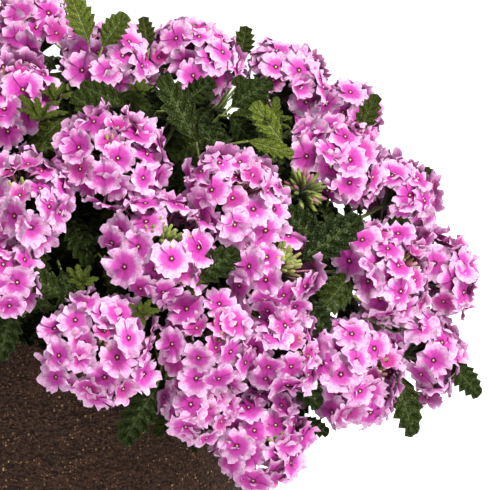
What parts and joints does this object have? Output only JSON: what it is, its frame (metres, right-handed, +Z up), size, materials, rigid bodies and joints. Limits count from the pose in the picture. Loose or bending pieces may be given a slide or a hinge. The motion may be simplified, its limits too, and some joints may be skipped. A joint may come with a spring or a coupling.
{
  "type": "potted verbena",
  "caption": "Verbena in a round planter: toothed leaves and domed pink flower heads that arch over the rim all round.",
  "frame": {"origin": "centre of the planter's flat underside", "axes": "+Z up along the planter's axis; -Y towards the side of the plant that the picture shows; +X to the right of that side"},
  "size_m": [0.4236, 0.3745, 0.3084],
  "materials": {
    "pot_brown_stoneware": "rough speckled brown",
    "soil_dark_peat": "crumbly, matt",
    "leaf_green": "matt, faintly hairy",
    "petal_pink": "soft petal",
    "bud_green": "matt"
  },
  "bodies": {
    "root": {"bud_tuft_09": "bud_green", "bud_tuft_14": "bud_green", "flower_head_01": "petal_pink", "flower_head_02": "petal_pink", "flower_head_03": "petal_pink", "flower_head_04": "petal_pink", "flower_head_05": "petal_pink", "flower_head_06": "petal_pink", "flower_head_07": "petal_pink", "flower_head_08": "petal_pink", "flower_head_09": "petal_pink", "flower_head_10": "petal_pink", "flower_head_11": "petal_pink", "flower_head_12": "petal_pink", "flower_head_13": "petal_pink", "flower_head_14": "petal_pink", "flower_head_15": "petal_pink", "flower_head_16": "petal_pink", "flower_head_17": "petal_pink", "flower_head_18": "petal_pink", "flower_head_19": "petal_pink", "flower_head_20": "petal_pink", "flower_head_21": "petal_pink", "flower_head_22": "petal_pink", "flower_head_23": "petal_pink", "flower_head_24": "petal_pink", "flower_head_25": "petal_pink", "flower_head_26": "petal_pink", "flower_head_27": "petal_pink", "flower_head_28": "petal_pink", "flower_head_29": "petal_pink", "flower_head_30": "petal_pink", "flower_head_31": "petal_pink", "flower_head_32": "petal_pink", "flower_head_33": "petal_pink", "flower_head_34": "petal_pink", "flower_head_35": "petal_pink", "flower_head_36": "petal_pink", "flower_head_37": "petal_pink", "flower_head_38": "petal_pink", "flower_head_39": "petal_pink", "flower_head_40": "petal_pink", "flower_head_41": "petal_pink", "flower_head_42": "petal_pink", "flower_head_43": "petal_pink", "flower_head_44": "petal_pink", "leafy_shoot_01": "leaf_green", "leafy_shoot_02": "leaf_green", "leafy_shoot_03": "leaf_green", "leafy_shoot_04": "leaf_green", "leafy_shoot_05": "leaf_green", "leafy_shoot_06": "leaf_green", "leafy_shoot_07": "leaf_green", "leafy_shoot_08": "leaf_green", "pot": "pot_brown_stoneware", "soil": "soil_dark_peat"}
  },
  "joints": []
}
